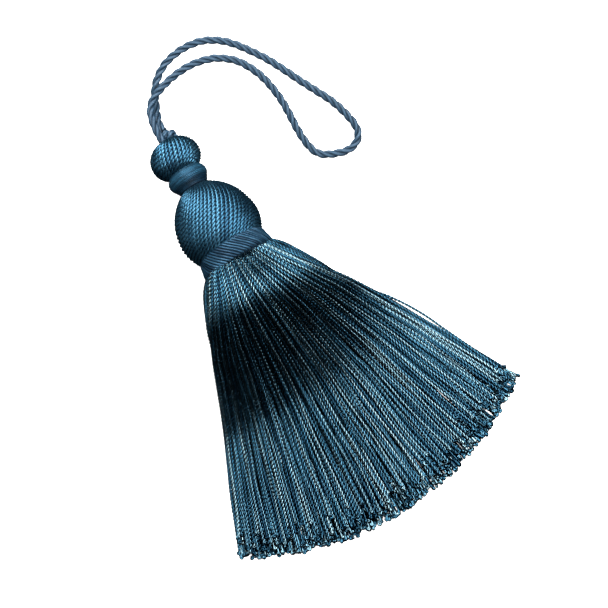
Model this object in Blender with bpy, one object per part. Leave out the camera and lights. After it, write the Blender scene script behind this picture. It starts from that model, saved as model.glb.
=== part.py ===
"""A key tassel lying on a table: a cord loop, a knot, two wound balls with a wrapped neck between them,
a satin collar and a skirt of fine cords that fans out and rests on the surface.

The origin is under the middle of the body without its loop, on the surface. The head points to +Y and
the skirt to -Y. Sizes are in millimetres and each mesh is scaled to metres as it is made.
"""
import math
import random

import bmesh
import bpy
from mathutils import Matrix, Vector

MM = 0.001

# Driving dimensions
LARGE_BALL_RADIUS = 13.86
SMALL_BALL_RADIUS = 8.3
LARGE_BALL_FLAT = 0.5
SMALL_BALL_FLAT = 0.42
LARGE_BALL_CENTRE = Vector((-0.9, 34.95, LARGE_BALL_RADIUS - LARGE_BALL_FLAT))
SMALL_BALL_CENTRE = Vector((-0.4, 60.15, SMALL_BALL_RADIUS - SMALL_BALL_FLAT))

# The tassel's own axis runs from the small ball to the large one and on into the skirt. Both balls
# rest on the surface, so it climbs towards the skirt.
AXIS = (LARGE_BALL_CENTRE - SMALL_BALL_CENTRE).normalized()
ACROSS = Vector((0.0, 0.0, 1.0)).cross(AXIS).normalized()
RISE = AXIS.cross(ACROSS)


def linear(red, green, blue):
    """A colour given as 0 to 255 screen values, as the linear values that a material takes."""
    channels = [channel / 255.0 for channel in (red, green, blue)]
    return [c / 12.92 if c <= 0.04045 else ((c + 0.055) / 1.055) ** 2.4 for c in channels] + [1.0]


def material(name, colour, roughness):
    made = bpy.data.materials.new(name)
    made.use_nodes = True
    shader = made.node_tree.nodes["Principled BSDF"]
    shader.inputs["Base Color"].default_value = linear(*colour)
    shader.inputs["Roughness"].default_value = roughness
    shader.inputs["Metallic"].default_value = 0.0
    return made


def add_object(name, points, faces, finish, parent=None, cut_at_floor=False):
    """Makes one closed mesh from points in millimetres, in its parent's space where it has one."""
    shape = bmesh.new()
    corners = [shape.verts.new(Vector(point) * MM) for point in points]
    for face in faces:
        shape.faces.new([corners[index] for index in face])
    if cut_at_floor:
        into_shape = parent.matrix_world.inverted()
        cut = bmesh.ops.bisect_plane(
            shape,
            geom=shape.verts[:] + shape.edges[:] + shape.faces[:],
            dist=1e-7,
            plane_co=into_shape @ Vector((0.0, 0.0, 0.0)),
            plane_no=into_shape.to_3x3() @ Vector((0.0, 0.0, -1.0)),
            clear_outer=True,
        )
        rim = [part for part in cut["geom_cut"] if isinstance(part, bmesh.types.BMEdge)]
        bmesh.ops.contextual_create(shape, geom=rim)
    bmesh.ops.recalc_face_normals(shape, faces=shape.faces[:])
    mesh = bpy.data.meshes.new(name)
    shape.to_mesh(mesh)
    shape.free()
    mesh.materials.append(finish)
    made = bpy.data.objects.new(name, mesh)
    made.parent = parent
    bpy.context.scene.collection.objects.link(made)
    return made


def add_head_axis():
    """An empty at the large ball's centre, its Z along the tassel's axis towards the skirt."""
    axis = bpy.data.objects.new("head_axis", None)
    turned = Matrix((ACROSS, RISE, AXIS)).transposed().to_4x4()
    axis.matrix_world = Matrix.Translation(LARGE_BALL_CENTRE * MM) @ turned
    bpy.context.scene.collection.objects.link(axis)
    bpy.context.view_layer.update()
    return axis


def interpolate(table, at, column):
    """Reads one column of a table whose first column rises, with straight lines between its rows."""
    if at <= table[0][0]:
        return table[0][column]
    for low, high in zip(table, table[1:]):
        if at <= high[0]:
            share = (at - low[0]) / (high[0] - low[0])
            return low[column] + share * (high[column] - low[column])
    return table[-1][column]


def ring_faces(rings, sides):
    """Faces of a closed skin over rings of the same number of points, with a face over each end."""
    faces = [tuple(range(sides))[::-1]]
    for ring in range(rings - 1):
        low = ring * sides
        high = low + sides
        for side in range(sides):
            after = (side + 1) % sides
            faces.append((low + side, low + after, high + after, high + side))
    faces.append(tuple(range((rings - 1) * sides, rings * sides)))
    return faces


def wound_form(profile, ribs, points_per_rib, depth):
    """A form turned round Z whose skin is raised in ribs that lean as they run from end to end.

    The profile's columns are the place along Z, the radius, and the ribs' lean in degrees.
    """
    sides = ribs * points_per_rib
    points = []
    turn = 0.0
    for row, (along, radius, lean) in enumerate(profile):
        if row:
            last_along, last_radius, last_lean = profile[row - 1]
            run = math.hypot(along - last_along, radius - last_radius)
            mean_lean = math.radians((lean + last_lean) / 2)
            turn += math.tan(mean_lean) * run / ((radius + last_radius) / 2)
        for side in range(sides):
            angle = turn + 2 * math.pi * side / sides
            across_rib = 2 * math.pi * (side % points_per_rib) / points_per_rib
            reach = radius - depth * (0.5 - 0.5 * math.cos(across_rib))
            points.append((reach * math.cos(angle), reach * math.sin(angle), along))
    return points, ring_faces(len(profile), sides)


# The two balls are moulds covered with two-ply cord laid side by side from end to end. Every place
# along the axis is counted from the large ball's centre.
LARGE_BALL_CORDS = 52
LARGE_BALL_CORD_DEPTH = 0.36
LARGE_BALL_PROFILE = (
    # along, radius, cords' lean
    (-14.6, 5.6, 8),
    (-13.4, 7.2, 14),
    (-11.5, 9.2, 22),
    (-9.0, 11.0, 28),
    (-6.0, 12.6, 32),
    (-3.0, 13.5, 34),
    (0.0, LARGE_BALL_RADIUS, 35),
    (3.0, 13.45, 35),
    (5.5, 12.4, 34),
    (7.9, 11.4, 33),
)
SMALL_BALL_CORDS = 33
SMALL_BALL_CORD_DEPTH = 0.3
SMALL_BALL_PROFILE = (
    (-32.2, 2.8, 10),
    (-31.7, 4.5, 14),
    (-30.9, 5.8, 20),
    (-29.7, 7.0, 24),
    (-28.1, 7.9, 26),
    (-26.0, SMALL_BALL_RADIUS, 26),
    (-24.1, 8.0, 26),
    (-22.8, 7.4, 25),
    (-21.8, 6.8, 24),
)


def add_balls(head):
    points, faces = wound_form(LARGE_BALL_PROFILE, LARGE_BALL_CORDS, 2, LARGE_BALL_CORD_DEPTH)
    finish = material("large ball cord", (62, 125, 150), 0.45)
    add_object("large_ball", points, faces, finish, head, cut_at_floor=True)
    points, faces = wound_form(SMALL_BALL_PROFILE, SMALL_BALL_CORDS, 2, SMALL_BALL_CORD_DEPTH)
    finish = material("small ball cord", (58, 120, 145), 0.45)
    add_object("small_ball", points, faces, finish, head, cut_at_floor=True)


# The neck and the collar are wrapped closely in satin floss, so they are smooth from a step away
WRAP_SIDES = 40
NECK_PROFILE = (
    (-21.5, 6.0),
    (-20.8, 6.25),
    (-18.6, 6.0),
    (-16.8, 5.8),
    (-15.5, 5.3),
    (-14.9, 4.9),
)
COLLAR_PROFILE = (
    (8.2, 11.2),
    (8.9, 11.6),
    (10.4, 11.8),
    (11.6, 12.15),
    (12.1, 12.2),
    (12.5, 11.9),
)


def add_wraps(head):
    for name, profile, colour in (
        ("neck_wrap", NECK_PROFILE, (70, 118, 148)),
        ("skirt_collar", COLLAR_PROFILE, (50, 75, 102)),
    ):
        smooth = [(along, radius, 0) for along, radius in profile]
        points, faces = wound_form(smooth, WRAP_SIDES, 1, 0.0)
        add_object(name, points, faces, material(name.replace("_", " ") + " satin", colour, 0.35), head)


# The knot is two turns of the loop's cord drawn down on the small ball's end
KNOT_CENTRE = Vector((2.2, 68.0, 5.0))
KNOT_HALF_LENGTH = 2.6
KNOT_RADIUS = 1.75
KNOT_RIDGES = 3
KNOT_RIDGE_DEPTH = 0.55
KNOT_RINGS = 9
KNOT_LEAN = 52
KNOT_END_SHARE = 0.09
KNOT_FULLNESS = 0.8
KNOT_AXIS = Vector((0.8, -0.55, 0.2)).normalized()


def add_knot():
    profile = []
    for ring in range(KNOT_RINGS):
        share = KNOT_END_SHARE + (1 - 2 * KNOT_END_SHARE) * ring / (KNOT_RINGS - 1)
        along = -KNOT_HALF_LENGTH * math.cos(math.pi * share)
        radius = KNOT_RADIUS * math.sin(math.pi * share) ** KNOT_FULLNESS
        profile.append((along, radius, KNOT_LEAN))
    points, faces = wound_form(profile, KNOT_RIDGES, 5, KNOT_RIDGE_DEPTH)
    knot = add_object("top_knot", points, faces, material("knot cord", (58, 95, 122), 0.6))
    knot.location = KNOT_CENTRE * MM
    knot.rotation_euler = KNOT_AXIS.to_track_quat("Z", "Y").to_euler()


# The loop is one three-ply cord, up from the knot, round on the table and back to the knot
CORD_DIAMETER = 2.4
CORD_LAY = 9.3
CORD_RINGS_PER_LAY = 9
CORD_PLIES = 3
CORD_VALLEY_SHARE = 0.74
CURVE_PARTS = 12
CORD_ROUTE = (
    # x, y, height of the cord's middle: the leg on the left, which crosses over the other
    (-1.4, 68.0, 6.7),
    (-1.3, 69.8, 6.7),
    (-0.6, 73.0, 5.9),
    (0.6, 76.2, 4.9),
    (3.0, 78.4, 4.2),
    (5.2, 79.8, 3.9),
    (7.9, 80.6, 3.6),
    (11.9, 81.5, 2.4),
    (16.4, 81.9, 1.5),
    (21.1, 81.5, 1.25),
    (25.7, 80.1, 1.22),
    (29.0, 78.2, 1.22),
    (32.3, 75.1, 1.22),
    (34.6, 71.2, 1.22),
    (36.2, 66.8, 1.22),
    (37.0, 62.2, 1.22),
    (37.3, 57.1, 1.22),
    (37.0, 52.3, 1.22),
    (36.5, 47.6, 1.22),
    (36.4, 43.0, 1.22),
    (36.9, 39.1, 1.22),
    (38.4, 36.4, 1.22),
    (41.7, 34.3, 1.22),
    (45.7, 32.9, 1.22),
    (49.0, 33.2, 1.22),
    (51.3, 35.0, 1.22),
    (52.2, 37.8, 1.22),
    (51.8, 42.2, 1.22),
    (50.4, 47.9, 1.22),
    (48.0, 53.5, 1.22),
    (45.5, 59.0, 1.22),
    (43.0, 65.0, 1.22),
    (40.4, 70.6, 1.22),
    (37.5, 75.5, 1.22),
    (34.6, 79.8, 1.22),
    (31.4, 83.2, 1.22),
    (27.6, 85.7, 1.22),
    (24.0, 86.9, 1.22),
    (19.6, 87.4, 1.22),
    (14.9, 86.9, 1.22),
    (11.1, 85.5, 1.22),
    (7.9, 83.3, 1.22),
    (5.7, 80.8, 1.22),
    (4.1, 77.8, 1.3),
    (2.8, 74.9, 1.9),
    (1.9, 72.3, 3.0),
    (1.5, 70.9, 3.8),
)


def smooth_route(points, step):
    """Points a step apart on the smooth curve through the route's own points."""
    route = [Vector(point) for point in points]
    before = route[0] * 2 - route[1]
    after = route[-1] * 2 - route[-2]
    route = [before] + route + [after]
    fine = []
    for index in range(1, len(route) - 2):
        a, b, c, d = route[index - 1:index + 3]
        for part in range(CURVE_PARTS):
            t = part / CURVE_PARTS
            fine.append(
                0.5 * (2 * b + (c - a) * t + (2 * a - 5 * b + 4 * c - d) * t ** 2
                       + (3 * b - 3 * c + d - a) * t ** 3)
            )
    fine.append(route[-2])
    length = sum((q - p).length for p, q in zip(fine, fine[1:]))
    count = round(length / step)
    spaced = [fine[0]]
    walked = 0.0
    for p, q in zip(fine, fine[1:]):
        span = (q - p).length
        while len(spaced) < count and walked + span >= length * len(spaced) / count:
            share = (length * len(spaced) / count - walked) / span
            spaced.append(p.lerp(q, share))
        walked += span
    spaced.append(fine[-1])
    return spaced, length


def add_loop_cord():
    path, length = smooth_route(CORD_ROUTE, CORD_LAY / CORD_RINGS_PER_LAY)
    points = []
    for index, middle in enumerate(path):
        ahead = path[min(index + 1, len(path) - 1)] - path[max(index - 1, 0)]
        side = ahead.cross(Vector((0.0, 0.0, 1.0))).normalized()
        up = side.cross(ahead).normalized()
        turn = 2 * math.pi * length * index / (len(path) - 1) / CORD_LAY
        for corner in range(2 * CORD_PLIES):
            angle = -turn + math.pi * corner / CORD_PLIES
            reach = CORD_DIAMETER / 2 * (1.0 if corner % 2 == 0 else CORD_VALLEY_SHARE)
            points.append(middle + (side * math.cos(angle) + up * math.sin(angle)) * reach)
    faces = ring_faces(len(path), 2 * CORD_PLIES)
    add_object("loop_cord", points, faces, material("loop cord", (62, 102, 130), 0.6))


# The skirt's cords, as locks of a few cords each, come out of a disc that closes the collar
SKIRT_COLUMNS = 40
SKIRT_ROWS = 5
COLUMN_GAP_SHARE = 0.14
ROW_GAP_SHARE = 0.12
PLATE_RADIUS = 11.7
PLATE_BACK = 12.8
PLATE_THICKNESS = 1.0
FAN_HALF_SLOPE = 0.506
FAN_APEX_Y = 50.8
FAN_RADIUS_MIDDLE = 121.6
FAN_RADIUS_SIDE = 118.2
SIDE_THINNING = 0.6
SKIRT_STATIONS = (0.045, 0.15, 0.34, 0.62, 1.0)
ROW_SHORTER = (4.0, 0.8, 0.0, 4.0, 8.5)
END_UNEVENNESS = 2.2
ROUND_UNTIL = 32.0
SKIRT_PROFILE = (
    # distance below the collar, half width, height of the top, height of the underside, middle's x
    (0.0, 12.6, 28.0, 3.8, -1.2),
    (2.0, 15.0, 28.4, 2.4, -1.2),
    (4.5, 17.0, 28.5, 1.2, -1.2),
    (9.0, 20.0, 27.6, 0.2, -1.1),
    (13.0, 21.9, 26.2, 0.0, -1.0),
    (18.0, 23.6, 24.4, 0.0, -0.9),
    (30.0, 29.6, 20.0, 0.0, -0.6),
    (45.0, 37.2, 15.0, 0.0, -0.3),
    (60.0, 44.8, 11.4, 0.0, 0.0),
    (75.0, 52.4, 9.4, 0.0, 0.0),
    (95.0, 62.5, 8.4, 0.0, 0.0),
)


def fan_end(u):
    """How far along Y the cords end, on a round sweep, for a place across the fan from -1 to 1."""
    radius = FAN_RADIUS_MIDDLE + (FAN_RADIUS_SIDE - FAN_RADIUS_MIDDLE) * u * u
    return FAN_APEX_Y - radius * math.cos(math.atan(FAN_HALF_SLOPE * u))


def root_point(u, v, along):
    """A place on the disc, where u and v from -1 to 1 run across and up a square drawn out to a circle."""
    x = PLATE_RADIUS * u * math.sqrt(1 - v * v / 2)
    z = PLATE_RADIUS * v * math.sqrt(1 - u * u / 2)
    return LARGE_BALL_CENTRE + AXIS * along + ACROSS * x + RISE * z


def skirt_point(u, v, share):
    """A place in the skirt, a share of the way from the disc to the ends."""
    root = root_point(u, v, PLATE_BACK + PLATE_THICKNESS)
    y = root.y + (fan_end(u) - root.y) * share
    below = root_point(0, 0, PLATE_BACK + PLATE_THICKNESS).y - y
    half, top, under, middle = (interpolate(SKIRT_PROFILE, below, column) for column in (1, 2, 3, 4))
    fan = min(max(below / ROUND_UNTIL, 0.0), 1.0)
    fan = fan * fan * (3 - 2 * fan)
    x = middle + half * u * ((1 - fan) * math.sqrt(1 - v * v / 2) + fan)
    round_z = (top + under) / 2 + (top - under) / 2 * v * math.sqrt(1 - u * u / 2)
    flat_z = under + (top - under) * (v + 1) / 2 * (1 - SIDE_THINNING * u * u)
    return Vector((x, y, (1 - fan) * round_z + fan * flat_z))


def strand_lines(count, gap_share):
    """The edges of strands side by side from -1 to 1, two for each strand."""
    pitch = 2 / (count - gap_share)
    width = pitch * (1 - gap_share)
    return [edge for strand in range(count) for edge in (-1 + strand * pitch, -1 + strand * pitch + width)]


def add_skirt():
    uneven = random.Random(11)
    u_lines = strand_lines(SKIRT_COLUMNS, COLUMN_GAP_SHARE)
    v_lines = strand_lines(SKIRT_ROWS, ROW_GAP_SHARE)
    across = len(u_lines)
    up = len(v_lines)
    front = PLATE_BACK + PLATE_THICKNESS
    points = [root_point(u, v, front) for v in v_lines for u in u_lines]

    def grid(column, row):
        return row * across + column

    faces = []
    for row in range(up - 1):
        for column in range(across - 1):
            if column % 2 or row % 2:
                low = grid(column, row)
                high = grid(column, row + 1)
                faces.append((low, low + 1, high + 1, high))

    # The disc's rim and back
    rim = [(column, 0) for column in range(across - 1)]
    rim += [(across - 1, row) for row in range(up - 1)]
    rim += [(column, up - 1) for column in range(across - 1, 0, -1)]
    rim += [(0, row) for row in range(up - 1, 0, -1)]
    back = len(points)
    points += [root_point(u_lines[column], v_lines[row], PLATE_BACK) for column, row in rim]
    for index, (column, row) in enumerate(rim):
        after = (index + 1) % len(rim)
        faces.append((grid(column, row), back + index, back + after, grid(*rim[after])))
    faces.append(tuple(back + index for index in range(len(rim)))[::-1])

    # The strands, each drawn out of its own cell of the disc
    for row in range(SKIRT_ROWS):
        for column in range(SKIRT_COLUMNS):
            corners = [(2 * column, 2 * row), (2 * column + 1, 2 * row),
                       (2 * column + 1, 2 * row + 1), (2 * column, 2 * row + 1)]
            last = [grid(*corner) for corner in corners]
            shorter = ROW_SHORTER[row] + END_UNEVENNESS * uneven.random()
            for number, share in enumerate(SKIRT_STATIONS):
                ring = []
                for corner_column, corner_row in corners:
                    u, v = u_lines[corner_column], v_lines[corner_row]
                    point = skirt_point(u, v, share)
                    if number == len(SKIRT_STATIONS) - 1:
                        before = skirt_point(u, v, SKIRT_STATIONS[-2])
                        point = point.lerp(before, shorter / (point - before).length)
                    ring.append(len(points))
                    points.append(point)
                for side in range(4):
                    after = (side + 1) % 4
                    faces.append((last[side], last[after], ring[after], ring[side]))
                last = ring
            faces.append(tuple(last))
    add_object("skirt", points, faces, material("skirt cord", (48, 105, 138), 0.4))


def main():
    for old in list(bpy.data.objects):
        bpy.data.objects.remove(old)
    head = add_head_axis()
    add_loop_cord()
    add_knot()
    add_balls(head)
    add_wraps(head)
    add_skirt()


main()
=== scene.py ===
import math
import random

import bpy
import numpy as np
from mathutils import Matrix, Vector


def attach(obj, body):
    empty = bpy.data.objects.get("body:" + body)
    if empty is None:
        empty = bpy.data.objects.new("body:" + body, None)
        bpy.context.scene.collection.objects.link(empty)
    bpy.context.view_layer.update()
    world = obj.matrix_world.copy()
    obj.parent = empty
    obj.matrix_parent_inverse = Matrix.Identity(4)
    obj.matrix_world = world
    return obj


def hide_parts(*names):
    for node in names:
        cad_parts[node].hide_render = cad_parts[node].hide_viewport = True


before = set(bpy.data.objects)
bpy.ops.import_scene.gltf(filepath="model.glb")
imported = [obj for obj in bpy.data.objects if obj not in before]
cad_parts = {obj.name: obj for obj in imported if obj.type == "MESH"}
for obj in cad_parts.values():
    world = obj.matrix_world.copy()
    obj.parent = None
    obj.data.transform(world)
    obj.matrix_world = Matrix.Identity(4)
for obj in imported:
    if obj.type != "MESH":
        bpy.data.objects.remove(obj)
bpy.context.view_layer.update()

# Camera
# It hangs straight above the table, turned so that the tassel runs from the upper left of the frame to
# the lower right. A long lens keeps the outline nearly free of perspective.
VIEW_CENTRE = Vector((0.00833, 0.00029, 0.008))
VIEW_WIDTH = 0.1885
VIEW_TURN = math.radians(-33.3)
LENS = 400.0
SENSOR = 36.0
lens = bpy.data.cameras.new("table_camera")
lens.lens = LENS
lens.sensor_width = SENSOR
lens.clip_end = 20.0
camera = bpy.data.objects.new("table_camera", lens)
camera.location = VIEW_CENTRE + Vector((0.0, 0.0, VIEW_WIDTH * LENS / SENSOR))
camera.rotation_euler = (0.0, 0.0, VIEW_TURN)
bpy.context.scene.collection.objects.link(camera)
bpy.context.scene.camera = camera
bpy.context.scene.view_settings.view_transform = "Standard"

# Loop cord
# One three-ply cord of blue rayon, laid up from fine yarns. It leaves the knot at the head, runs round on
# the table as a long loop, passes under its own first leg and goes back into the knot.
MM = 0.001
LOOP_LAY = 9.3
LOOP_PLIES = 3
LOOP_PLY_RING = 0.64
LOOP_PLY_RADIUS = 0.68
LOOP_ROUTE = (
    # x, y and height of the cord's middle in millimetres: first the leg on the left
    (-0.5, 65.6, 7.2),
    (-0.62, 68.0, 6.7),
    (-0.5, 69.8, 6.7),
    (0.1, 73.0, 5.9),
    (1.2, 76.2, 4.9),
    (3.0, 78.4, 4.2),
    (5.2, 79.8, 3.9),
    (7.9, 80.6, 3.6),
    (11.9, 81.5, 2.4),
    (16.4, 81.9, 1.5),
    (21.1, 81.5, 1.35),
    (25.7, 80.1, 1.34),
    (29.0, 78.2, 1.34),
    (32.3, 75.1, 1.34),
    (34.6, 71.2, 1.34),
    (36.2, 66.8, 1.34),
    (37.0, 62.2, 1.34),
    (37.3, 57.1, 1.34),
    (37.0, 52.3, 1.34),
    (36.5, 47.6, 1.34),
    (36.4, 43.0, 1.34),
    (36.9, 39.1, 1.34),
    (38.4, 36.4, 1.34),
    (41.7, 34.3, 1.34),
    (45.7, 32.9, 1.34),
    (49.0, 33.2, 1.34),
    (51.3, 35.0, 1.34),
    (52.2, 37.8, 1.34),
    (51.8, 42.2, 1.34),
    (50.4, 47.9, 1.34),
    (48.0, 53.5, 1.34),
    (45.5, 59.0, 1.34),
    (43.0, 65.0, 1.34),
    (40.4, 70.6, 1.34),
    (37.5, 75.5, 1.34),
    (34.6, 79.8, 1.34),
    (31.4, 83.2, 1.34),
    (27.6, 85.7, 1.34),
    (24.0, 86.9, 1.34),
    (19.6, 87.4, 1.34),
    (14.9, 86.9, 1.34),
    (11.1, 85.5, 1.34),
    (7.9, 83.3, 1.34),
    (5.7, 80.8, 1.34),
    (4.1, 77.8, 1.4),
    (2.6, 74.9, 1.9),
    (1.6, 72.3, 3.0),
    (1.3, 70.9, 3.8),
    (1.5, 69.2, 4.4),
)


def screen(red, green, blue):
    """A colour given as 0 to 255 screen values, as the linear values that a shader takes."""
    channels = [channel / 255.0 for channel in (red, green, blue)]
    return tuple(c / 12.92 if c <= 0.04045 else ((c + 0.055) / 1.055) ** 2.4 for c in channels) + (1.0,)


def put(tree, kind, inputs=None, **settings):
    """Adds a node to a tree, with each input either a number or another node's output."""
    made = tree.nodes.new(kind)
    for name, value in settings.items():
        setattr(made, name, value)
    for name, value in (inputs or {}).items():
        socket = made.inputs[name]
        if isinstance(value, bpy.types.NodeSocket):
            tree.links.new(value, socket)
        else:
            socket.default_value = value
    return made


def reckon(tree, operation, first, second):
    """The result of one sum on two values, each a number or another node's output."""
    return put(tree, "ShaderNodeMath", {0: first, 1: second}, operation=operation).outputs[0]


def make_cord_tree():
    """Sweeps every line of a mesh into a cord of twisted plies, each ply a tube round the cord's middle."""
    tree = bpy.data.node_groups.new("twisted cord", "GeometryNodeTree")
    for name, kind in (
        ("Lines", "NodeSocketGeometry"),
        ("Step", "NodeSocketFloat"),
        ("Lay", "NodeSocketFloat"),
        ("Plies", "NodeSocketInt"),
        ("Ply Ring", "NodeSocketFloat"),
        ("Ply Radius", "NodeSocketFloat"),
        ("Ply Sides", "NodeSocketInt"),
        ("Ply Turn", "NodeSocketFloat"),
        ("Flatness", "NodeSocketFloat"),
        ("Smooth", "NodeSocketBool"),
        ("Finish", "NodeSocketMaterial"),
    ):
        tree.interface.new_socket(name, in_out="INPUT", socket_type=kind)
    tree.interface.new_socket("Cords", in_out="OUTPUT", socket_type="NodeSocketGeometry")
    sizes = put(tree, "NodeGroupInput").outputs

    lines = put(tree, "GeometryNodeMeshToCurve", {0: sizes["Lines"]}).outputs[0]
    curved = put(tree, "GeometryNodeCurveSplineType", {0: lines}, spline_type="CATMULL_ROM").outputs[0]
    fine = put(
        tree, "GeometryNodeResampleCurve", {0: curved, "Length": sizes["Step"]}, mode="LENGTH"
    ).outputs[0]
    route = put(
        tree, "GeometryNodeSwitch", {0: sizes["Smooth"], 1: lines, 2: fine}, input_type="GEOMETRY"
    ).outputs[0]
    walked = put(tree, "GeometryNodeSplineParameter").outputs["Length"]
    route = put(
        tree, "GeometryNodeStoreNamedAttribute", {0: route, "Name": "along", "Value": walked},
        data_type="FLOAT", domain="POINT",
    ).outputs[0]
    heading = put(tree, "GeometryNodeInputTangent").outputs[0]
    route = put(
        tree, "GeometryNodeStoreNamedAttribute", {0: route, "Name": "ahead", "Value": heading},
        data_type="FLOAT_VECTOR", domain="POINT",
    ).outputs[0]
    phase = put(tree, "GeometryNodeInputNamedAttribute", {"Name": "phase"}, data_type="FLOAT").outputs[0]
    turns = reckon(tree, "ADD", reckon(tree, "DIVIDE", walked, sizes["Lay"]), phase)
    turned = put(
        tree, "GeometryNodeSetCurveTilt", {0: route, "Tilt": reckon(tree, "MULTIPLY", turns, 2 * math.pi)}
    ).outputs[0]

    ply = put(
        tree, "GeometryNodeCurvePrimitiveCircle",
        {"Resolution": sizes["Ply Sides"], "Radius": sizes["Ply Radius"]}, mode="RADIUS",
    ).outputs[0]
    place = put(tree, "GeometryNodeInputPosition").outputs[0]
    rim = put(tree, "ShaderNodeVectorMath", {0: place}, operation="NORMALIZE").outputs[0]
    ply = put(
        tree, "GeometryNodeStoreNamedAttribute", {0: ply, "Name": "rim", "Value": rim},
        data_type="FLOAT_VECTOR", domain="POINT",
    ).outputs[0]
    flattened = put(tree, "ShaderNodeCombineXYZ", {0: 1.0, 1: sizes["Flatness"], 2: 1.0}).outputs[0]
    pressed = put(tree, "ShaderNodeVectorMath", {0: place, 1: flattened}, operation="MULTIPLY").outputs[0]
    ply = put(tree, "GeometryNodeSetPosition", {0: ply, "Position": pressed}).outputs[0]
    number = put(tree, "GeometryNodeInputIndex").outputs[0]
    angle = reckon(tree, "MULTIPLY", reckon(tree, "DIVIDE", number, sizes["Plies"]), 2 * math.pi)
    ring_x = reckon(tree, "MULTIPLY", reckon(tree, "COSINE", angle, 0.0), sizes["Ply Ring"])
    ring_y = reckon(tree, "MULTIPLY", reckon(tree, "SINE", angle, 0.0), sizes["Ply Ring"])
    middle = put(tree, "ShaderNodeCombineXYZ", {0: ring_x, 1: ring_y, 2: 0.0}).outputs[0]
    middles = put(tree, "GeometryNodePoints", {"Count": sizes["Plies"], "Position": middle}).outputs[0]
    turned_to = reckon(tree, "ADD", angle, sizes["Ply Turn"])
    facing = put(tree, "ShaderNodeCombineXYZ", {0: 0.0, 1: 0.0, 2: turned_to}).outputs[0]
    section = put(
        tree, "GeometryNodeInstanceOnPoints", {0: middles, "Instance": ply, "Rotation": facing}
    ).outputs[0]
    section = put(tree, "GeometryNodeRealizeInstances", {0: section}).outputs[0]
    reach = put(tree, "ShaderNodeVectorMath", {0: place}, operation="LENGTH").outputs["Value"]
    crest = reckon(tree, "DIVIDE", reach, reckon(tree, "ADD", sizes["Ply Ring"], sizes["Ply Radius"]))
    section = put(
        tree, "GeometryNodeStoreNamedAttribute", {0: section, "Name": "crest", "Value": crest},
        data_type="FLOAT", domain="POINT",
    ).outputs[0]

    thickness = put(
        tree, "GeometryNodeInputNamedAttribute", {"Name": "thickness"}, data_type="FLOAT"
    ).outputs[0]
    swept = put(
        tree, "GeometryNodeCurveToMesh",
        {"Curve": turned, "Profile Curve": section, "Scale": thickness, "Fill Caps": True},
    ).outputs[0]
    swept = put(tree, "GeometryNodeSetShadeSmooth", {0: swept, "Shade Smooth": True}).outputs[0]
    swept = put(tree, "GeometryNodeRealizeInstances", {0: swept}).outputs[0]
    swept = put(tree, "GeometryNodeSetMaterial", {0: swept, "Material": sizes["Finish"]}).outputs[0]
    put(tree, "NodeGroupOutput", {0: swept})
    return tree


cord_tree = make_cord_tree()


def add_piece(name, mesh, node):
    """Links a finished mesh as a piece that rides on the tassel and stands for one CAD node."""
    piece = bpy.data.objects.new(name, mesh)
    bpy.context.scene.collection.objects.link(piece)
    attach(piece, "root")
    if node:
        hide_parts(node)
    return piece


def add_cords(name, lines, finish, sizes, node):
    """Makes one piece of cords from lines, each (points in millimetres, thickness, tone, phase)."""
    points = np.concatenate([line[0] for line in lines]) * MM
    counts = [len(line[0]) for line in lines]
    starts = np.cumsum([0] + counts[:-1])
    edges = [
        (start + step, start + step + 1)
        for start, count in zip(starts, counts)
        for step in range(count - 1)
    ]
    guide_mesh = bpy.data.meshes.new(name + "_lines")
    guide_mesh.from_pydata(points.tolist(), edges, [])
    for column, label in ((1, "thickness"), (2, "tone"), (3, "phase")):
        values = np.concatenate([np.broadcast_to(line[column], len(line[0])) for line in lines])
        stored = guide_mesh.attributes.new(label, "FLOAT", "POINT")
        stored.data.foreach_set("value", values.astype(np.float32))
    guide = bpy.data.objects.new(name + "_lines", guide_mesh)
    bpy.context.scene.collection.objects.link(guide)
    sweep = guide.modifiers.new("cords", "NODES")
    sweep.node_group = cord_tree
    chosen = dict(sizes, Finish=finish)
    for socket in cord_tree.interface.items_tree:
        if socket.in_out == "INPUT" and socket.name in chosen:
            sweep[socket.identifier] = chosen[socket.name]
    graph = bpy.context.evaluated_depsgraph_get()
    mesh = bpy.data.meshes.new_from_object(guide.evaluated_get(graph))
    mesh.name = name
    bpy.data.objects.remove(guide)
    return add_piece(name, mesh, node)


# a noise texture's values lie nearly all between these two
GRAIN_LOW = 0.3
GRAIN_HIGH = 0.7
ROUGHNESS_SPREAD = 0.06
STRAND_SHIFT = 37.0
FIBRE_DEPTH = 0.2 * MM


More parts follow.
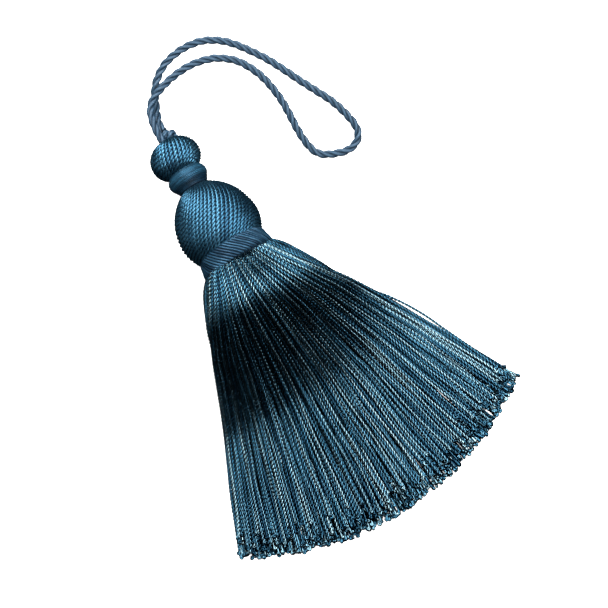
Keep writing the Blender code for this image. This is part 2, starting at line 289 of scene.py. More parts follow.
def cord_finish(name, tones, metallic, roughness, fibre, valley_shade, specular=0.5):
    """A rayon cord: a ramp of tones from strand to strand, fine fibres along each ply, and shade painted
    into the valleys between plies.

    fibre is (fibres round a ply, fibres per millimetre along it, contrast, bump), and the painted valley
    shade is given as (crest value at the bottom, crest value at the top, shares of red, green and blue left
    at the bottom).
    """
    made = bpy.data.materials.new(name)
    made.use_nodes = True
    tree = made.node_tree
    shader = tree.nodes["Principled BSDF"]
    shader.inputs["Metallic"].default_value = metallic
    shader.inputs["Specular IOR Level"].default_value = specular
    tone = put(tree, "ShaderNodeAttribute", attribute_name="tone").outputs["Fac"]
    along = put(tree, "ShaderNodeAttribute", attribute_name="along").outputs["Fac"]
    rim = put(tree, "ShaderNodeAttribute", attribute_name="rim").outputs["Vector"]
    crest = put(tree, "ShaderNodeAttribute", attribute_name="crest").outputs["Fac"]

    ramp = put(tree, "ShaderNodeValToRGB", {0: tone})
    stops = ramp.color_ramp.elements
    while len(stops) < len(tones):
        stops.new(0.5)
    for stop, (position, colour) in zip(stops, tones):
        stop.position = position
        stop.color = screen(*colour)

    fibres_round, fibres_along, contrast, bump = fibre
    run = reckon(tree, "MULTIPLY", along, fibres_along / MM)
    strand = reckon(tree, "MULTIPLY", tone, STRAND_SHIFT)
    lengthwise = put(tree, "ShaderNodeCombineXYZ", {0: strand, 1: 0.0, 2: run}).outputs[0]
    place = put(
        tree, "ShaderNodeVectorMath", {0: rim, 1: (fibres_round,) * 3, 2: lengthwise},
        operation="MULTIPLY_ADD",
    ).outputs[0]
    grain = put(tree, "ShaderNodeTexNoise", {"Vector": place, "Scale": 1.0, "Detail": 2.0}).outputs[0]
    shade = put(
        tree, "ShaderNodeMapRange",
        {
            0: grain, "From Min": GRAIN_LOW, "From Max": GRAIN_HIGH,
            "To Min": 1.0 - contrast, "To Max": 1.0 + contrast,
        },
    ).outputs[0]
    # painted shade: where the crest value is low, down in the valleys between plies, the colour keeps only
    # the given shares of red, green and blue
    low, high, shares = valley_shade
    height = put(tree, "ShaderNodeMapRange", {0: crest, "From Min": low, "From Max": high}).outputs[0]
    rest = tuple(1.0 - share for share in shares)
    tint = put(
        tree, "ShaderNodeVectorMath", {0: height, 1: rest, 2: shares}, operation="MULTIPLY_ADD"
    ).outputs[0]
    valley_shaded = put(
        tree, "ShaderNodeVectorMath", {0: ramp.outputs[0], 1: tint}, operation="MULTIPLY"
    ).outputs[0]
    scaled = put(tree, "ShaderNodeVectorMath", {0: valley_shaded, "Scale": shade}, operation="SCALE").outputs[0]
    tree.links.new(scaled, shader.inputs["Base Color"])
    rough = put(
        tree, "ShaderNodeMapRange",
        {
            0: grain, "From Min": GRAIN_LOW, "From Max": GRAIN_HIGH,
            "To Min": roughness - ROUGHNESS_SPREAD, "To Max": roughness + ROUGHNESS_SPREAD,
        },
    ).outputs[0]
    tree.links.new(rough, shader.inputs["Roughness"])
    raised = put(
        tree, "ShaderNodeBump", {"Strength": bump, "Distance": FIBRE_DEPTH, "Height": grain}
    ).outputs[0]
    tree.links.new(raised, shader.inputs["Normal"])
    return made


LOOP_TONES = ((0.0, (20, 40, 58)), (1.0, (44, 74, 96)))
loop_finish = cord_finish(
    "loop_rayon", LOOP_TONES, metallic=0.3, roughness=0.5, fibre=(5.0, 0.5, 0.45, 0.6),
    valley_shade=(0.35, 0.9, (0.2, 0.24, 0.3)),
)
LOOP_TONE = 0.5
loop_points = np.array(LOOP_ROUTE)
loop_lines = [(loop_points, 1.0, LOOP_TONE, 0.0)]
LOOP_SIZES = {
    "Step": 0.55 * MM, "Lay": LOOP_LAY * MM, "Plies": LOOP_PLIES, "Ply Ring": LOOP_PLY_RING * MM,
    "Ply Radius": LOOP_PLY_RADIUS * MM, "Ply Sides": 9, "Ply Turn": 0.0, "Flatness": 1.0, "Smooth": True,
}
loop_cord = add_cords("loop_cord_plies", loop_lines, loop_finish, LOOP_SIZES, "loop_cord")

# Top knot
# The same cord's two ends are drawn down into one small barrel knot on the head of the small ball. It
# is a short coil that lies across the head, with its ends tucked under.
KNOT_CENTRE = Vector((2.3, 66.75, 5.8))
KNOT_AXIS = Vector((0.8, -0.55, 0.2)).normalized()
KNOT_TURNS = 2.3
KNOT_PITCH = 1.8
KNOT_COIL_RADIUS = 1.15
KNOT_CORD_SHARE = 0.7
KNOT_END_SHRINK = 0.45
KNOT_STEPS = 24
KNOT_TONE = 0.75
KNOT_PHASE = 0.2
knot_side = KNOT_AXIS.cross(Vector((0.0, 0.0, 1.0))).normalized()
knot_up = knot_side.cross(KNOT_AXIS)
knot_points = []
for step in range(KNOT_STEPS + 1):
    share = step / KNOT_STEPS
    swing = 2 * math.pi * KNOT_TURNS * share
    closing = 1.0 - (1.0 - KNOT_END_SHRINK) * abs(2 * share - 1) ** 4
    reach = KNOT_COIL_RADIUS * closing
    centre = KNOT_CENTRE + KNOT_AXIS * (KNOT_PITCH * KNOT_TURNS * (share - 0.5))
    knot_points.append(centre + (knot_side * math.cos(swing) + knot_up * math.sin(swing)) * reach)
knot_points = np.array(knot_points)
KNOT_SIZES = dict(LOOP_SIZES, Step=0.4 * MM)
knot_lines = [(knot_points, KNOT_CORD_SHARE, KNOT_TONE, KNOT_PHASE)]
add_cords("knot_coil", knot_lines, loop_finish, KNOT_SIZES, "top_knot")

# Balls
# Two round wooden moulds, covered from end to end with a shiny two-ply cord laid side by side at a slant.
# Both rest on the table, so the tassel's axis climbs from the small ball to the large one.
LARGE_BALL_CENTRE = Vector((-0.72, 34.3, 13.36))
SMALL_BALL_CENTRE = Vector((-0.22, 59.2, 7.88))
AXIS = (LARGE_BALL_CENTRE - SMALL_BALL_CENTRE).normalized()
ACROSS = Vector((0.0, 0.0, 1.0)).cross(AXIS).normalized()
RISE = AXIS.cross(ACROSS)
LARGE_BALL_PROFILE = (
    # distance along the axis from the large ball's centre, radius, lean of the cords in degrees
    (-14.5, 5.4, 8),
    (-13.3, 7.0, 14),
    (-11.4, 9.0, 22),
    (-9.0, 10.8, 28),
    (-6.0, 12.3, 32),
    (-3.0, 13.15, 34),
    (0.0, 13.5, 35),
    (3.0, 13.15, 35),
    (5.3, 12.3, 34),
    (7.3, 11.3, 33),
    (8.8, 10.4, 33),
)
SMALL_BALL_PROFILE = (
    (-32.5, 1.6, 6),
    (-32.2, 2.8, 10),
    (-31.7, 4.5, 14),
    (-30.9, 5.8, 20),
    (-29.7, 7.0, 24),
    (-28.1, 7.9, 26),
    (-26.0, 8.3, 26),
    (-24.1, 8.0, 26),
    (-22.9, 7.3, 25),
    (-22.0, 6.6, 24),
    (-21.4, 5.8, 23),
    (-21.1, 4.9, 22),
)
LARGE_BALL_CORDS = 48
SMALL_BALL_CORDS = 31
BALL_CORD_INSET = 0.7
BALL_CORD_RING = 0.30
BALL_CORD_PLY = 0.46
BALL_CORD_LAY = 2.75
BALL_COMBING = 0.7
BALL_SWELL = 0.7
BALL_FLAT_HEIGHT = 0.75
SQUEEZED_BELOW = 0.8
MOULD_INSET = 0.95
MOULD_SIDES = 64
MOULD_FLAT_HEIGHT = 0.5


def head_point(along, radius, angle):
    """A point on the head, by its distance along the axis, its radius and its angle round the axis."""
    return LARGE_BALL_CENTRE + AXIS * along + (ACROSS * math.cos(angle) + RISE * math.sin(angle)) * radius


def wound_lines(profile, count, inset, lowest, draws, sense=1.0):
    """Lines laid side by side over a turned form, leaning as its profile says.

    Where the form narrows they keep their thickness until they would crowd, and are then drawn finer.
    """
    widest = max(radius for along, radius, lean in profile) - inset
    full_pitch = 2 * math.pi * widest / count
    lines = []
    for number in range(count):
        angle = 2 * math.pi * number / count
        points = []
        thickness = []
        for row, (along, radius, lean) in enumerate(profile):
            if row:
                last_along, last_radius, last_lean = profile[row - 1]
                run = math.hypot(along - last_along, radius - last_radius)
                mean_lean = math.radians((lean + last_lean) / 2)
                angle += sense * math.tan(mean_lean) * run / ((radius + last_radius) / 2)
            point = head_point(along, radius - inset, angle)
            point.z = max(point.z, lowest)
            points.append(point)
            pitch = 2 * math.pi * (radius - inset) / count * math.cos(math.radians(lean))
            thickness.append(min(1.0, pitch / full_pitch / SQUEEZED_BELOW))
        lines.append((np.array(points), np.array(thickness), draws.random(), draws.random()))
    return lines


def turned_skin(name, profile, inset, sides, lowest, finish):
    """A plain closed form turned round the tassel's axis, under the cords that cover it."""
    rows = [(along, radius - inset) for along, radius in profile]
    points = []
    for along, radius in rows:
        for side in range(sides):
            point = head_point(along, radius, 2 * math.pi * side / sides)
            point.z = max(point.z, lowest)
            points.append(point * MM)
    faces = [tuple(range(sides))[::-1]]
    for row in range(len(rows) - 1):
        low = row * sides
        for side in range(sides):
            after = (side + 1) % sides
            faces.append((low + side, low + after, low + sides + after, low + sides + side))
    faces.append(tuple(range((len(rows) - 1) * sides, len(rows) * sides)))
    mesh = bpy.data.meshes.new(name)
    mesh.from_pydata(points, [], faces)
    mesh.materials.append(finish)
    mesh.shade_smooth()
    return add_piece(name, mesh, None)


def comb(piece, share, middle=None, swell=0.0):
    """Turns the normals towards square to each cord, as its fibres run along it and gleam together.

    With a middle they are also turned outwards from it, so the fibres gleam as one round surface.
    """
    mesh = piece.data
    normals = np.empty(len(mesh.vertices) * 3, np.float32)
    ahead = np.empty(len(mesh.vertices) * 3, np.float32)
    mesh.vertex_normals.foreach_get("vector", normals)
    mesh.attributes["ahead"].data.foreach_get("vector", ahead)
    normals = normals.reshape(-1, 3)
    ahead = ahead.reshape(-1, 3)
    ahead /= np.maximum(np.linalg.norm(ahead, axis=1, keepdims=True), 1e-6)
    if middle is not None:
        places = np.empty(len(mesh.vertices) * 3, np.float32)
        mesh.vertices.foreach_get("co", places)
        outward = places.reshape(-1, 3) - np.array(middle * MM)
        normals += outward / np.linalg.norm(outward, axis=1, keepdims=True) * swell
    normals -= ahead * np.sum(normals * ahead, axis=1, keepdims=True) * share
    normals /= np.maximum(np.linalg.norm(normals, axis=1, keepdims=True), 1e-6)
    mesh.normals_split_custom_set_from_vertices(normals.tolist())


def mould_finish():
    """The paper-covered wood under the cords: dark blue with a faint grain."""
    made = bpy.data.materials.new("mould_paper")
    made.use_nodes = True
    tree = made.node_tree
    shader = tree.nodes["Principled BSDF"]
    place = put(tree, "ShaderNodeTexCoord").outputs["Object"]
    grain = put(tree, "ShaderNodeTexNoise", {"Vector": place, "Scale": 900.0, "Detail": 3.0}).outputs[0]
    ramp = put(tree, "ShaderNodeValToRGB", {0: grain})
    ramp.color_ramp.elements[0].color = screen(8, 16, 26)
    ramp.color_ramp.elements[1].color = screen(18, 34, 50)
    tree.links.new(ramp.outputs[0], shader.inputs["Base Color"])
    shader.inputs["Roughness"].default_value = 0.8
    shader.inputs["Specular IOR Level"].default_value = 0.1
    return made


BALL_TONES = ((0.0, (32, 68, 90)), (0.5, (41, 81, 103)), (1.0, (53, 94, 116)))
ball_finish = cord_finish(
    "ball_rayon", BALL_TONES, metallic=0.9, roughness=0.3, fibre=(3.0, 0.35, 0.25, 0.35),
    valley_shade=(0.45, 0.85, (0.03, 0.12, 0.2)),
)
under_finish = mould_finish()
draws = random.Random(3)
BALL_SIZES = {
    "Step": 0.36 * MM, "Lay": BALL_CORD_LAY * MM, "Plies": 2, "Ply Ring": BALL_CORD_RING * MM,
    "Ply Radius": BALL_CORD_PLY * MM, "Ply Sides": 6, "Ply Turn": 0.0, "Flatness": 1.0, "Smooth": True,
}
for label, profile, count, middle in (
    # name, profile, number of cords, and the place along the axis that its shine swells from
    ("large_ball", LARGE_BALL_PROFILE, LARGE_BALL_CORDS, -0.5),
    ("small_ball", SMALL_BALL_PROFILE, SMALL_BALL_CORDS, -26.5),
):
    lines = wound_lines(profile, count, BALL_CORD_INSET, BALL_FLAT_HEIGHT, draws)
    made = add_cords(label + "_cords", lines, ball_finish, BALL_SIZES, label)
    comb(made, BALL_COMBING, head_point(middle, 0.0, 0.0), BALL_SWELL)
    mould = [(along, radius) for along, radius, lean in profile]
    turned_skin(label + "_mould", mould, MOULD_INSET, MOULD_SIDES, MOULD_FLAT_HEIGHT, under_finish)

# Neck wrap
# Fine satin floss wound closely round the neck between the two balls, like the whipping on a rope. It
# swells against the small ball and runs down into a hollow beside the large one.
NECK_PROFILE = (
    (-21.6, 4.7),
    (-21.0, 5.4),
    (-20.2, 6.1),
    (-19.4, 6.5),
    (-18.6, 6.6),
    (-17.8, 6.45),
    (-17.0, 6.0),
    (-16.2, 5.4),
    (-14.9, 4.8),
)
NECK_FLOSS_RADIUS = 0.28
NECK_FLOSS_PITCH = 0.42
POINTS_PER_TURN = 20
# how far the threads lie in or out of place, and how fast that changes along the axis
NECK_UNEVEN = ((0.04, 23.0), (0.03, 9.1))
# painted shade: over this length the floss's tone falls to its darkest at this place, and it stays darkest
# in the hollow beside the large ball
NECK_PAINTED_SHADE_FROM = -16.6
NECK_PAINTED_SHADE_OVER = 1.2
NECK_TONE = 0.62
NECK_TONE_SWING = 0.38
NECK_CORE_INSET = 0.35
NECK_CORE_SIDES = 40
# crest values from 0 to 1 with no share taken away: no painted valley shade, as floss has no valleys
# between plies
NO_VALLEY_SHADE = (0.0, 1.0, (1.0, 1.0, 1.0))
FLOSS_SPECULAR = 0.2


def read_profile(profile, along):
    """The radius that a profile of (distance along the axis, radius) has at one place."""
    return float(np.interp(along, [row[0] for row in profile], [row[1] for row in profile]))


neck_from = NECK_PROFILE[0][0]
neck_to = NECK_PROFILE[-1][0]
neck_count = int((neck_to - neck_from) / NECK_FLOSS_PITCH * POINTS_PER_TURN)
neck_points = []
neck_tones_with_painted_shade = []
for step in range(neck_count + 1):
    along = neck_from + (neck_to - neck_from) * step / neck_count
    radius = read_profile(NECK_PROFILE, along) - NECK_FLOSS_RADIUS
    radius += sum(size * math.sin(along * rate) for size, rate in NECK_UNEVEN)
    neck_points.append(head_point(along, radius, 2 * math.pi * step / POINTS_PER_TURN))
    turn = step // POINTS_PER_TURN
    # painted shade: the share of the tone that is left, falling to none in the hollow beside the large ball
    raised = max(0.0, min(1.0, (NECK_PAINTED_SHADE_FROM - along) / NECK_PAINTED_SHADE_OVER))
    swing = NECK_TONE_SWING * math.sin(turn * 2.4) * math.sin(turn * 0.9 + 1.0)
    neck_tones_with_painted_shade.append(raised * (NECK_TONE + swing))
FLOSS_TONES = ((0.0, (12, 36, 52)), (1.0, (34, 74, 96)))
neck_finish = cord_finish(
    "neck_satin", FLOSS_TONES, metallic=0.45, roughness=0.5, fibre=(2.0, 0.3, 0.8, 0.4),
    valley_shade=NO_VALLEY_SHADE, specular=FLOSS_SPECULAR,
)
NECK_SIZES = {
    "Step": 0.9 * MM, "Lay": 40.0 * MM, "Plies": 1, "Ply Ring": 0.0,
    "Ply Radius": NECK_FLOSS_RADIUS * MM, "Ply Sides": 5, "Ply Turn": 0.0, "Flatness": 1.0, "Smooth": True,
}
neck_lines = [(np.array(neck_points), 1.0, np.array(neck_tones_with_painted_shade), 0.0)]
add_cords("neck_floss", neck_lines, neck_finish, NECK_SIZES, "neck_wrap")
turned_skin("neck_core", NECK_PROFILE, NECK_CORE_INSET, NECK_CORE_SIDES, MOULD_FLAT_HEIGHT, under_finish)

# Skirt collar
# A band of the same satin floss laid at a slant over the heads of the skirt's cords. Its threads lean
# the other way from the cords on the ball, and its lower edge is cut clean.
COLLAR_PROFILE = (
    # distance along the axis, radius, lean of the threads in degrees
    (6.6, 10.8, 44),
    (7.3, 11.35, 46),
    (8.0, 11.65, 46),
    (9.5, 11.9, 46),
    (10.7, 12.2, 46),
    (11.7, 12.35, 46),
    (12.6, 12.2, 46),
    (13.0, 11.8, 46),
)
COLLAR_THREADS = 58
COLLAR_THREAD_RADIUS = 0.44
COLLAR_FLAT_HEIGHT = 0.4
COLLAR_CORE_INSET = 0.55
COLLAR_CORE_SIDES = 48
COLLAR_TONES = ((0.0, (16, 39, 56)), (0.5, (23, 50, 69)), (1.0, (38, 68, 88)))
collar_finish = cord_finish(
    "collar_satin", COLLAR_TONES, metallic=0.5, roughness=0.36, fibre=(1.5, 0.3, 0.5, 0.4),
    valley_shade=NO_VALLEY_SHADE, specular=FLOSS_SPECULAR,
)
COLLAR_SIZES = dict(NECK_SIZES, Step=0.7 * MM)
COLLAR_SIZES["Ply Radius"] = COLLAR_THREAD_RADIUS * MM
collar_lines = wound_lines(
    COLLAR_PROFILE, COLLAR_THREADS, COLLAR_THREAD_RADIUS, COLLAR_FLAT_HEIGHT, draws, sense=-1.0
)
add_cords("collar_floss", collar_lines, collar_finish, COLLAR_SIZES, "skirt_collar")
collar_core = [(along, radius) for along, radius, lean in COLLAR_PROFILE]
turned_skin(
    "collar_core", collar_core, COLLAR_CORE_INSET, COLLAR_CORE_SIDES, MOULD_FLAT_HEIGHT, under_finish
)

# Skirt
# Several hundred fine cords of shiny rayon, each twisted and doubled back so that it ends in a small
# curl. They are tied in under the collar, swell over its edge and fan out flat on the table.
FAN_HALF_SLOPE = 0.506
FAN_APEX_Y = 50.8
FAN_RADIUS_MIDDLE = 121.6
FAN_RADIUS_SIDE = 118.2
# the fan thins towards its sides, on the left only gradually
SIDE_THINNING = 0.55
LEFT_THIN_FROM = 45.0
ROUND_UNTIL = 24.0
# the swell sits a little nearer to the collar on the left than on the right
SHOULDER_SKEW = (4.0, 12.0)
SKEW_UNTIL = 32.0
SKIRT_EDGE_INSET = 0.5
EDGE_INSET_FROM = 9.0
SKIRT_PROFILE = np.array((
    # distance below the collar, half width, height of the top, of the underside, middle's x
    (-5, 12.6, 24.8, 3.8, -1.0),
    (0, 12.6, 26.2, 3.8, -1.0),
    (2, 14.8, 26.9, 2.4, -1.0),
    (4.5, 16.8, 27.8, 1.2, -1.0),
    (9, 19.8, 28.9, 0.2, -0.9),
    (14, 22.1, 28.9, 0, -0.8),
    (19, 23.8, 27.0, 0, -0.6),
    (24, 26.4, 23.9, 0, -0.3),
    (30, 29.5, 19.9, 0, 0.0),
    (37, 33.1, 16.1, 0, 0.3),
    (45, 37.3, 12.9, 0, 0.5),
    (51, 40.4, 11.4, 0, 0.55),
    (60, 44.9, 10.4, 0, 0.45),
    (75, 52.4, 9.1, 0, 0.3),
    (95, 62.5, 8.2, 0, 0),
))
ROOT_ALONG = 12.2
ROOT_RADIUS = 11.2
ROOT_DEPTH = 0.5
SKIRT_PLY_RING = 0.24
SKIRT_PLY_RADIUS = 0.35
SKIRT_LAY = 2.5
SKIRT_COMBING = 0.8
CORD_SPACING = 1.1
# distances below the collar at which a cord is given a place
STATIONS = (0.0, 2.0, 4.5, 9.0, 14.0, 19.0, 24.0, 30.0, 37.0, 45.0, 52.0, 60.0, 67.0, 75.0, 84.0, 95.0)
LAST_STATION_GAP = 5.0
CURL_RADIUS = 0.36
CURL_SIZES_FROM_TO = (0.7, 1.25)
CURL_SWEEP = math.radians(290)
CURL_POINTS = 7
# the fringe's ends: how far the upper cords stop short, and how the line of ends waves
SHORT_BY_HEIGHT = 8.0
SHORT_BY_CHANCE = 1.6
SHORT_OF_ALL = 2.5
END_SCALLOP = 0.5
SCALLOP_RATES = (34.0, 13.0)
# the cords' wander from side to side and up and down, each growing to its full size
SIDE_WANDER = 0.014
SIDE_RATES = (0.05, 0.11, 0.21)
SIDE_GROWS_OVER = 45.0
LIFT_WANDER = 0.08
LIFT_RATES = (0.04, 0.09, 0.17)
LIFT_GROWS_OVER = 15.0
CORD_THICKNESS = (0.86, 1.12)
SKIRT_FLAT_HEIGHT = 0.5
# the cords that show: layers across the fan, drawn a little into clumps, and a row down each flank
SKIRT_LAYERS = 7
CORDS_IN_LAYER = 30
LAYER_WIDTH = 0.97
LAYER_DROP = 0.08
CLUMPS = 70
CLUMPING = 0.12
GOLDEN_STEP = 0.618034
LAYER_TONE_STEP = 0.29
FLANK_CORDS = 17
FLANK_WIDTH = 0.985
FLANK_HEIGHT = 0.95
FLANK_TUCK = 0.05
# the cords beneath them that lie on the table
FLOOR_CORDS = 240
FLOOR_WIDTH = 0.99
FLOOR_HEIGHTS = (-0.97, -0.8)


def disc_to_square(x, z):
    """The place in a square from -1 to 1 that stands for a place in a round disc of radius 1."""
    spread = x * x - z * z
    u = 0.5 * (math.sqrt(max(0.0, 2 + spread + 2 * math.sqrt(2) * x))
               - math.sqrt(max(0.0, 2 + spread - 2 * math.sqrt(2) * x)))
    v = 0.5 * (math.sqrt(max(0.0, 2 - spread + 2 * math.sqrt(2) * z))
               - math.sqrt(max(0.0, 2 - spread - 2 * math.sqrt(2) * z)))
    return u, v


def fan_end(u):
    """Where the fringe ends on the table, as a place along Y, for a cord at u from side to side."""
    radius = FAN_RADIUS_MIDDLE + (FAN_RADIUS_SIDE - FAN_RADIUS_MIDDLE) * u * u
    return FAN_APEX_Y - radius * math.cos(math.atan(FAN_HALF_SLOPE * u))


def skirt_point(u, v, below, top_y):
    """A place in the skirt: u from the left side to the right, v from the underside to the top."""
    half, under, middle = (
        float(np.interp(below, SKIRT_PROFILE[:, 0], SKIRT_PROFILE[:, column])) for column in (1, 3, 4)
    )
    skewed = below - SHOULDER_SKEW[u > 0] * u * max(0.0, 1 - below / SKEW_UNTIL)
    top = float(np.interp(skewed, SKIRT_PROFILE[:, 0], SKIRT_PROFILE[:, 2]))
    thinning = SIDE_THINNING * (min(1.0, below / LEFT_THIN_FROM) if u < 0 else 1.0)
    half -= SKIRT_EDGE_INSET * min(1.0, below / EDGE_INSET_FROM)
    fan = min(1.0, max(0.0, below / ROUND_UNTIL))
    fan = fan * fan * (3 - 2 * fan)
    x = middle + half * u * ((1 - fan) * math.sqrt(max(0.0, 1 - v * v / 2)) + fan)
    round_z = (top + under) / 2 + (top - under) / 2 * v * math.sqrt(max(0.0, 1 - u * u / 2))
    flat_z = under + (top - under) * (v + 1) / 2 * (1 - thinning * min(1.0, u * u))
    return Vector((x, top_y - below, (1 - fan) * round_z + fan * flat_z))


def drift(draws, waves):
    """A smooth random wander from -1 to 1 as a sum of three long waves."""
    parts = [(draws.uniform(0.6, 1.0), wave * draws.uniform(0.8, 1.25), draws.uniform(0, 2 * math.pi))
             for wave in waves]
    total = sum(part[0] for part in parts)
    return lambda at: sum(size * math.sin(at * rate + start) for size, rate, start in parts) / total


def curl(points, radius, draws):
    """Adds the small curl in which a cord ends, in a plane turned at random round the cord."""
    ahead = (points[-1] - points[-2]).normalized()
    side = ahead.cross(Vector((0.0, 0.0, 1.0))).normalized()
    up = side.cross(ahead)
    turn = draws.uniform(0, 2 * math.pi)
    out = side * math.cos(turn) + up * math.sin(turn) * 0.6
    out.normalize()
    centre = points[-1] + out * radius
    for step in range(1, CURL_POINTS + 1):
        swing = CURL_SWEEP * step / CURL_POINTS
        points.append(centre - out * radius * math.cos(swing) + ahead * radius * math.sin(swing))


skirt_draws = random.Random(21)
clump_centres = sorted(skirt_draws.uniform(-1.05, 1.05) for _ in range(CLUMPS))
cords = []
for layer in range(SKIRT_LAYERS):
    offset = (layer * GOLDEN_STEP) % 1.0
    for place in range(CORDS_IN_LAYER):
        u = ((place + offset) / CORDS_IN_LAYER * 2 - 1) * LAYER_WIDTH
        nearest = min(clump_centres, key=lambda centre: abs(centre - u))
        v = 1 - LAYER_DROP * (layer + 0.5 * skirt_draws.random())
        tone = (GOLDEN_STEP * place + LAYER_TONE_STEP * layer + 0.25 * skirt_draws.random()) % 1.0
        cords.append((u, v, u + (nearest - u) * CLUMPING, tone, True))
for side in (-1, 1):
    for place in range(FLANK_CORDS):
        v = (place + 0.5) / FLANK_CORDS * (2 * FLANK_HEIGHT) - FLANK_HEIGHT
        u = side * (FLANK_WIDTH - FLANK_TUCK * (place % 3 == 2))
        tone = (GOLDEN_STEP * place + 0.2 * skirt_draws.random()) % 1.0
        cords.append((u, v, u * (1 - skirt_draws.uniform(0.0, 0.3)), tone, True))
rows = int(2 * ROOT_RADIUS / CORD_SPACING)
for row in range(rows):
    z = (row + 0.5) / rows * 2 - 1
    width = math.sqrt(1 - z * z)
    in_row = max(1, round(2 * width * ROOT_RADIUS / CORD_SPACING))
    offset = (row * GOLDEN_STEP) % 1.0
    for place in range(in_row):
        x = ((place + offset) / in_row * 2 - 1) * width
        u, v = disc_to_square(x, z)
        if v < 1 - LAYER_DROP * SKIRT_LAYERS:
            cords.append((u * LAYER_WIDTH, v, u * LAYER_WIDTH, skirt_draws.random(), False))
for place in range(FLOOR_CORDS):
    u = ((place + 0.5) / FLOOR_CORDS * 2 - 1) * FLOOR_WIDTH
    cords.append((u, skirt_draws.uniform(*FLOOR_HEIGHTS), u, skirt_draws.random(), False))

upper = []
lower = []
for u, v, end_u, tone, seen in cords:
    root = LARGE_BALL_CENTRE + AXIS * ROOT_ALONG
    root += ACROSS * (ROOT_RADIUS * u * math.sqrt(max(0.0, 1 - v * v / 2)))
    root += RISE * (ROOT_RADIUS * v * math.sqrt(max(0.0, 1 - u * u / 2)))
    top_y = root.y - ROOT_DEPTH
    end = top_y - fan_end(max(-1.0, min(1.0, end_u)))
    height_share = max(0.0, (v + 1) / 2)
    short = SHORT_BY_HEIGHT * height_share ** 1.5 * skirt_draws.random()
    end -= short + skirt_draws.uniform(0.0, SHORT_BY_CHANCE)
    end -= SHORT_OF_ALL * height_share
    end += END_SCALLOP * math.sin(end_u * SCALLOP_RATES[0]) * math.sin(end_u * SCALLOP_RATES[1])
    sideways = drift(skirt_draws, SIDE_RATES)
    lift = drift(skirt_draws, LIFT_RATES)
    points = [root]
    for below in STATIONS:
        if below > end - LAST_STATION_GAP:
            break
        spread = min(1.0, below / SIDE_GROWS_OVER)
        wandered = u + (end_u - u) * spread + SIDE_WANDER * sideways(below) * spread
        high = max(-1.0, min(1.0, v + LIFT_WANDER * lift(below) * min(1.0, below / LIFT_GROWS_OVER)))
        points.append(skirt_point(wandered, high, below, top_y))
    points.append(skirt_point(end_u + SIDE_WANDER * sideways(end), high, end, top_y))
    curl(points, CURL_RADIUS * skirt_draws.uniform(*CURL_SIZES_FROM_TO), skirt_draws)
    for point in points:
        point.z = max(point.z, SKIRT_FLAT_HEIGHT)
    thickness = skirt_draws.uniform(*CORD_THICKNESS)
    line = (np.array(points), thickness, tone, skirt_draws.random())
    (upper if seen else lower).append((u, line))
# one cord that has slipped out and bows away from the right edge of the fan
STRAY_CORD = (
    (15.5, 14.0, 8.0),
    (19.4, 5.0, 6.5),
    (24.4, -2.8, 5.0),
    (28.1, -7.6, 3.9),
    (31.4, -11.8, 3.0),
    (34.8, -17.3, 2.0),
    (37.9, -23.4, 1.3),
    (40.6, -30.2, 0.9),
    (43.2, -36.6, 0.7),
    (45.6, -42.3, 0.7),
    (49.0, -50.0, 0.7),
)
STRAY_TONE = 0.35
STRAY_THICKNESS = 0.9
upper.append((1.1, (np.array(STRAY_CORD), STRAY_THICKNESS, STRAY_TONE, 0.0)))

SKIRT_TONES = (
    (0.0, (26, 56, 74)),
    (0.3, (44, 84, 104)),
    (0.6, (66, 104, 122)),
    (0.8, (92, 124, 136)),
    (1.0, (120, 146, 154)),
)
skirt_finish = cord_finish(
    "skirt_rayon", SKIRT_TONES, metallic=1.0, roughness=0.22, fibre=(2.0, 0.5, 0.35, 0.1),
    valley_shade=(0.4, 0.85, (0.06, 0.14, 0.22)),
)
SKIRT_SIZES = {
    "Step": 0.42 * MM, "Lay": SKIRT_LAY * MM, "Plies": 2, "Ply Ring": SKIRT_PLY_RING * MM,
    "Ply Radius": SKIRT_PLY_RADIUS * MM, "Ply Sides": 3, "Ply Turn": math.pi, "Flatness": 1.0,
    "Smooth": True,
}
upper.sort(key=lambda pair: pair[0])
SKIRT_PIECES = ("left", "left_middle", "right_middle", "right")
for number, label in enumerate(SKIRT_PIECES):
    first = len(upper) * number // len(SKIRT_PIECES)
    last = len(upper) * (number + 1) // len(SKIRT_PIECES)
    part = upper[first:last]
    made = add_cords("skirt_cords_" + label, [line for u, line in part], skirt_finish, SKIRT_SIZES, "skirt")
    comb(made, SKIRT_COMBING)
UNDER_CORD_RADIUS = 0.45
UNDER_SIZES = dict(SKIRT_SIZES, Plies=1, Smooth=False)
UNDER_SIZES.update({"Ply Ring": 0.0, "Ply Radius": UNDER_CORD_RADIUS * MM, "Ply Sides": 4})
made = add_cords("skirt_cords_under", [line for u, line in lower], skirt_finish, UNDER_SIZES, "skirt")
comb(made, SKIRT_COMBING)

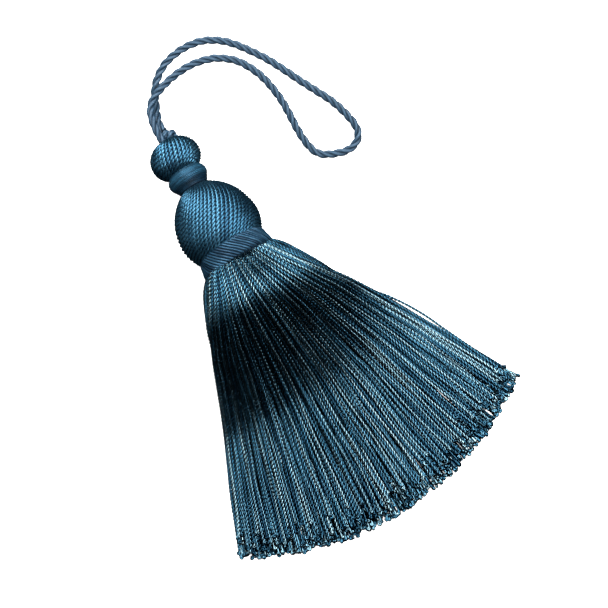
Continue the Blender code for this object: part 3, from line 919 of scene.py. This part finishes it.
# Table and light
# A white table under a broad soft light overhead that leans to the right. A second one beside it brings
# out the shoulder, a low one stands beyond the head, and two weak ones fill the shade at the sides.
TABLE_HALF = 8.0
LIGHTS = (
    # name, direction it comes from, distance, size across and along the tassel, power
    ("softbox", (0.34, -0.06, 1.0), 3.2, 3.0, 2.5, 185.0),
    ("crest_light", (0.15, 0.26, 1.0), 3.0, 2.6, 1.3, 75.0),
    ("head_light", (0.1, 0.85, 0.42), 3.0, 1.8, 1.8, 200.0),
    ("left_fill", (-0.85, 0.2, 0.5), 3.0, 1.6, 1.6, 16.0),
    ("right_fill", (0.9, 0.1, 0.4), 3.0, 1.6, 1.6, 18.0),
)
TABLE_GLOW = 1.0
ROOM_GLOW = 0.015


def table_finish():
    """Matt white that stays even from edge to edge, with the faintest of mottling."""
    made = bpy.data.materials.new("table_white")
    made.use_nodes = True
    tree = made.node_tree
    shader = tree.nodes["Principled BSDF"]
    place = put(tree, "ShaderNodeTexCoord").outputs["Object"]
    grain = put(tree, "ShaderNodeTexNoise", {"Vector": place, "Scale": 60.0, "Detail": 2.0}).outputs[0]
    tint = put(
        tree, "ShaderNodeMapRange",
        {0: grain, "From Min": GRAIN_LOW, "From Max": GRAIN_HIGH, "To Min": 0.88, "To Max": 0.9},
    ).outputs[0]
    tree.links.new(tint, shader.inputs["Base Color"])
    shader.inputs["Roughness"].default_value = 0.9
    shader.inputs["Emission Color"].default_value = (1.0, 1.0, 1.0, 1.0)
    shader.inputs["Emission Strength"].default_value = TABLE_GLOW
    return made


table_mesh = bpy.data.meshes.new("table")
table_mesh.from_pydata(
    [(x * TABLE_HALF, y * TABLE_HALF, 0.0) for x, y in ((-1, -1), (1, -1), (1, 1), (-1, 1))],
    [], [(0, 1, 2, 3)],
)
table_mesh.materials.append(table_finish())
table = bpy.data.objects.new("table", table_mesh)
bpy.context.scene.collection.objects.link(table)
# the table's own glow is kept off the cords
table.visible_glossy = False
table.visible_diffuse = False

for name, direction, distance, size_across, size_along, power in LIGHTS:
    panel = bpy.data.lights.new(name, "AREA")
    panel.shape = "ELLIPSE"
    panel.size = size_across
    panel.size_y = size_along
    panel.energy = power
    lamp = bpy.data.objects.new(name, panel)
    lean = Vector(direction).normalized()
    along = lean.cross(Vector((1.0, 0.0, 0.0))).normalized()
    lamp.location = lean * distance
    lamp.rotation_euler = Matrix((along.cross(lean), along, lean)).transposed().to_euler()
    bpy.context.scene.collection.objects.link(lamp)

room = bpy.data.worlds.new("room")
room.use_nodes = True
room.node_tree.nodes["Background"].inputs["Color"].default_value = (0.9, 0.95, 1.0, 1.0)
room.node_tree.nodes["Background"].inputs["Strength"].default_value = ROOM_GLOW
bpy.context.scene.world = room
